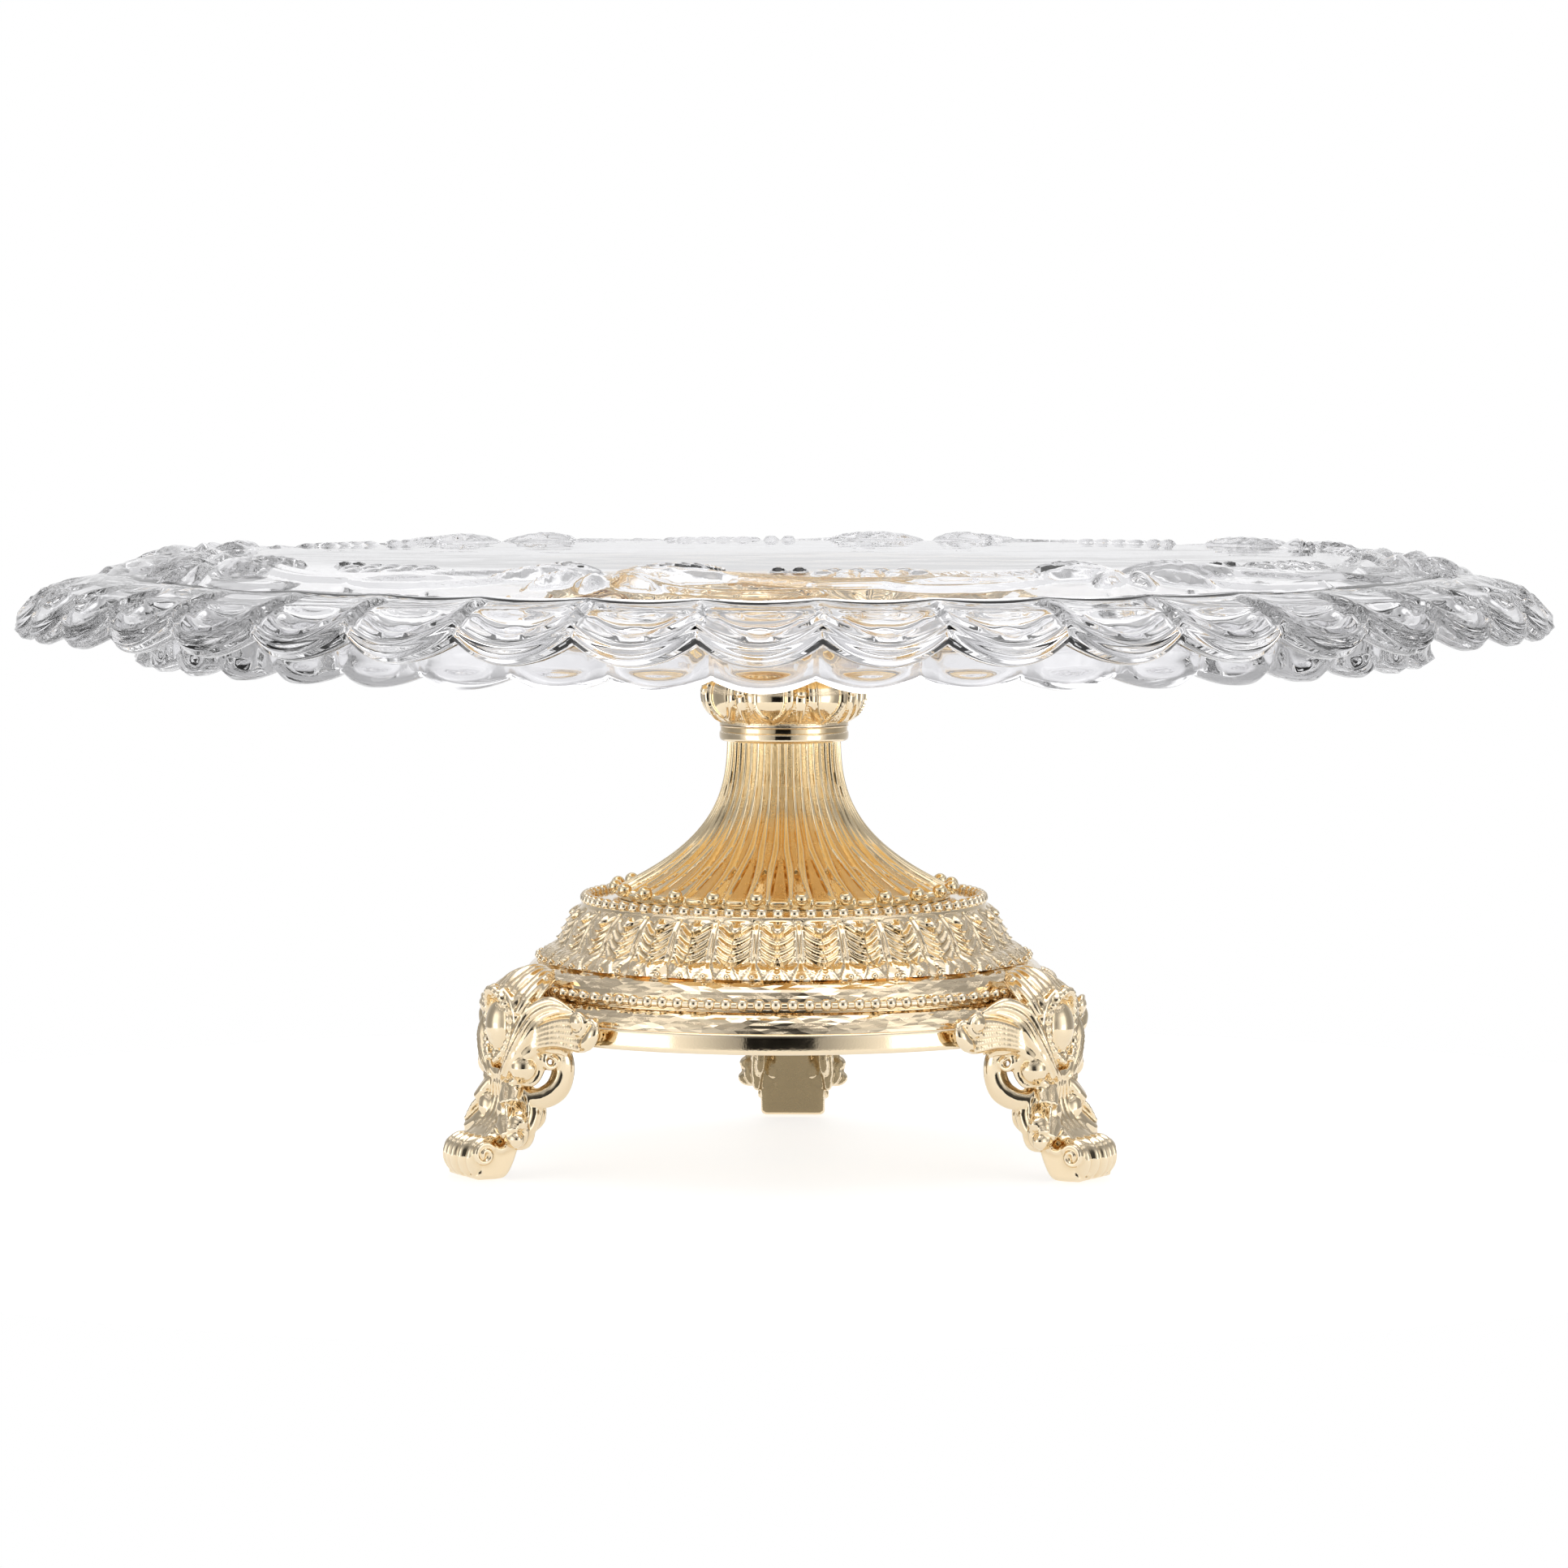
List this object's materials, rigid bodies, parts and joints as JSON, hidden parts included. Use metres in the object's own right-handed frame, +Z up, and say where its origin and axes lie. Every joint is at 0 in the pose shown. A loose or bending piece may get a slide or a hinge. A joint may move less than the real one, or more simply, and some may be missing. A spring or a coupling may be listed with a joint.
{
  "type": "cake stand",
  "caption": "Footed cake stand: scalloped clear glass plate on a gold-plated fluted stem, beaded round base and three scroll legs.",
  "frame": {"origin": "on the floor, under the middle of the plate", "axes": "+Z up along the stem; -Y is the front, and the third leg stands on +Y"},
  "size_m": [0.329, 0.33, 0.1305],
  "materials": {
    "clear_glass": "clear pressed glass, fire polished",
    "clear_silicone": "clear, slightly frosted",
    "polished_gold": "polished gold plate on a casting",
    "satin_gold": "satin gold plate on a casting",
    "steel": "zinc plated"
  },
  "bodies": {
    "pedestal": {"glass_pad_1": "clear_silicone", "glass_pad_2": "clear_silicone", "glass_pad_3": "clear_silicone", "glass_pad_4": "clear_silicone", "support_disc": "satin_gold", "neck_sleeve": "satin_gold", "cup": "polished_gold", "collar": "polished_gold", "stem": "satin_gold", "leaf_skirt": "polished_gold", "upper_tier": "polished_gold", "bead_ring": "polished_gold", "base_ring": "polished_gold", "leg_front_left": "polished_gold", "leg_front_right": "polished_gold", "leg_back": "polished_gold", "leg_screw_front_left_a": "steel", "leg_screw_front_left_b": "steel", "leg_screw_front_right_a": "steel", "leg_screw_front_right_b": "steel", "leg_screw_back_a": "steel", "leg_screw_back_b": "steel", "tie_rod": "steel", "backing_plate": "steel", "washer": "steel", "lock_washer": "steel", "tie_nut": "steel"},
    "plate": {"glass_plate": "clear_glass"}
  },
  "joints": [
    {"name": "plate_lift", "type": "slide", "parent": "pedestal", "child": "plate", "axis": [0, 0, 1], "range_m": [0, 0.06]}
  ]
}
